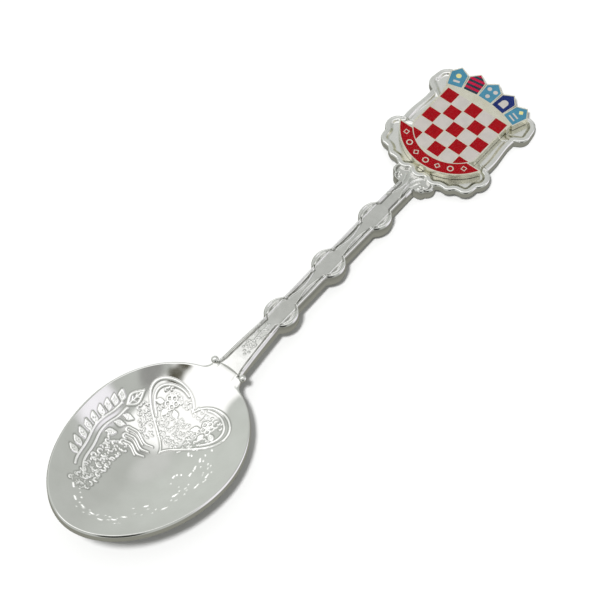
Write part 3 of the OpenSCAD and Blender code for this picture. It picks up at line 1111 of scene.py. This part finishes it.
def make_floor():
    mesh = bpy.data.meshes.new("floor")
    corners = [(x * FLOOR_HALF, y * FLOOR_HALF, 0) for x, y in ((-1, -1), (1, -1), (1, 1), (-1, 1))]
    mesh.from_pydata(corners, [], [(0, 1, 2, 3)])
    floor = bpy.data.objects.new("floor", mesh)
    bpy.context.scene.collection.objects.link(floor)
    mesh.materials.append(material("floor", FLOOR_COLOUR, 0.6))
    floor.visible_glossy = False


GREY_WALLS = (0.485, 0.50, 0.475)
LIGHTER_WALL = (0.66, 0.69, 0.65)
PALE_WALL = (0.6, 0.61, 0.59)
SHELF = (0.3, 0.3, 0.29)
SOFTBOX = (1.15, 1.15, 1.14)
SIDE_PANEL = (0.95, 0.93, 0.98)
ROOM_GAP = (0.2, 0.2, 0.19)
PHOTOGRAPHER = (0.1, 0.095, 0.07)
BELOW = (0.26, 0.26, 0.225)
DARK_DOORWAY = (0.03, 0.03, 0.025)


class Studio:
    """Paints the light from each direction, with x and y its place on a plane overhead."""

    def __init__(self, colour):
        world = bpy.data.worlds.new("studio")
        bpy.context.scene.world = world
        world.use_nodes = True
        self.tree = world.node_tree
        self.tree.nodes.clear()
        self.direction = self.tree.nodes.new("ShaderNodeTexCoord").outputs["Generated"]
        split = self.tree.nodes.new("ShaderNodeSeparateXYZ")
        self.tree.links.new(self.direction, split.inputs[0])
        height = self.maths("MAXIMUM", split.outputs[2], 0.02)
        self.x = self.maths("DIVIDE", split.outputs[0], height)
        self.y = self.maths("DIVIDE", split.outputs[1], height)
        self.colour = colour

    def maths(self, operation, a, b=0.0):
        node = self.tree.nodes.new("ShaderNodeMath")
        node.operation = operation
        for socket, value in zip(node.inputs, (a, b)):
            if isinstance(value, (int, float)):
                socket.default_value = value
            else:
                self.tree.links.new(value, socket)
        return node.outputs[0]

    def step(self, value, low_panel_shade, high):
        node = self.tree.nodes.new("ShaderNodeMapRange")
        node.interpolation_type = "SMOOTHSTEP"
        node.inputs["From Min"].default_value = low_panel_shade
        node.inputs["From Max"].default_value = high
        self.tree.links.new(value, node.inputs["Value"])
        return node.outputs["Result"]

    def side_of(self, across, along, offset, soft):
        """1 where across * x + along * y on the overhead plane is more than the offset."""
        sum_xy = self.maths(
            "ADD", self.maths("MULTIPLY", self.x, across), self.maths("MULTIPLY", self.y, along)
        )
        return self.step(sum_xy, offset - soft, offset + soft)

    def inside(self, edges):
        """1 on the inner side of every edge, each one the numbers that side_of takes."""
        result = 1
        for edge in edges:
            result = self.maths("MULTIPLY", result, self.side_of(*edge))
        return result

    def towards(self, direction, inner, outer):
        """1 within an angle of a direction, falling to 0 at a wider one."""
        node = self.tree.nodes.new("ShaderNodeVectorMath")
        node.operation = "DOT_PRODUCT"
        self.tree.links.new(self.direction, node.inputs[0])
        node.inputs[1].default_value = Vector(direction).normalized()
        cosines = math.cos(math.radians(outer)), math.cos(math.radians(inner))
        return self.step(node.outputs["Value"], *cosines)

    def paint(self, mask, colour, strength=1.0):
        """Lays a colour over what is there already, where the mask is 1."""
        share = self.maths("MULTIPLY", mask, strength)
        self.colour = mix_colours(self.tree, share, self.colour, colour)

    def finish(self):
        background = self.tree.nodes.new("ShaderNodeBackground")
        self.tree.links.new(self.colour, background.inputs["Color"])
        out = self.tree.nodes.new("ShaderNodeOutputWorld")
        self.tree.links.new(background.outputs[0], out.inputs["Surface"])


# Edges on the plane overhead: across, along, offset and softness, as side_of takes them.
SOFTBOX_EDGES = (
    (0.2, -1, -0.54, 0.2), (-1, 0, -0.6, 0.05), (0.76, -0.65, -0.58, 0.14),
    (-0.69, 0.73, -0.62, 0.06),
)
GAP_EDGES = ((0, 1, 0.6, 0.03), (0, -1, -0.74, 0.1), (1, 0, -0.2, 0.12), (-1, 0, -0.6, 0.2))
GAP_STRENGTH = 0.8
WALL_STRENGTH = 0.6

# Round patches: a direction, the degrees where the patch is full and where it ends, a colour.
# The pale wall lies where the spoon's flat parts look, as the camera sees them.
LIGHTER_WALL_PATCH = ((-0.9, 0.25, 0.2), 5, 60, LIGHTER_WALL)
PATCHES_BEHIND_BOX = (
    ((0.695, 0.486, 0.53), 9, 16, SIDE_PANEL),
    ((-0.36, 0.58, 0.74), 2, 19, PALE_WALL),
    ((0.61, -0.19, 0.77), 4, 13, SHELF),
)
# The last patch is the spoon's own shade on the floor, which its steep sides see.
PATCHES_OVER_BOX = (
    ((0.33, -0.4, 0.86), 4, 10, PHOTOGRAPHER),
    ((0.78, 0.6, -0.2), 20, 32, SIDE_PANEL),
    ((0.75, -0.66, 0.0), 16, 27, DARK_DOORWAY),
    ((0, 0, -1), 52, 68, BELOW),
)


def make_studio():
    studio = Studio(GREY_WALLS)
    *place, colour = LIGHTER_WALL_PATCH
    studio.paint(studio.towards(*place), colour, WALL_STRENGTH)
    # a dark gap past the softbox's far edge
    studio.paint(studio.inside(GAP_EDGES), ROOM_GAP, GAP_STRENGTH)
    for *place, colour in PATCHES_BEHIND_BOX:
        studio.paint(studio.towards(*place), colour)
    studio.paint(studio.inside(SOFTBOX_EDGES), SOFTBOX)
    for *place, colour in PATCHES_OVER_BOX:
        studio.paint(studio.towards(*place), colour)
    studio.finish()


SUN_FROM = (0.13, -0.36, 0.93)
SUN_STRENGTH = 5
SUN_ANGLE = 8


def make_key_light():
    data = bpy.data.lights.new("key", "SUN")
    data.energy = SUN_STRENGTH
    data.angle = math.radians(SUN_ANGLE)
    key = bpy.data.objects.new("key", data)
    bpy.context.scene.collection.objects.link(key)
    key.rotation_mode = "QUATERNION"
    key.rotation_quaternion = Vector(SUN_FROM).to_track_quat("Z", "Y")
    key.visible_glossy = False


make_key_light()
make_floor()
make_studio()
bpy.context.scene.view_settings.view_transform = "Standard"
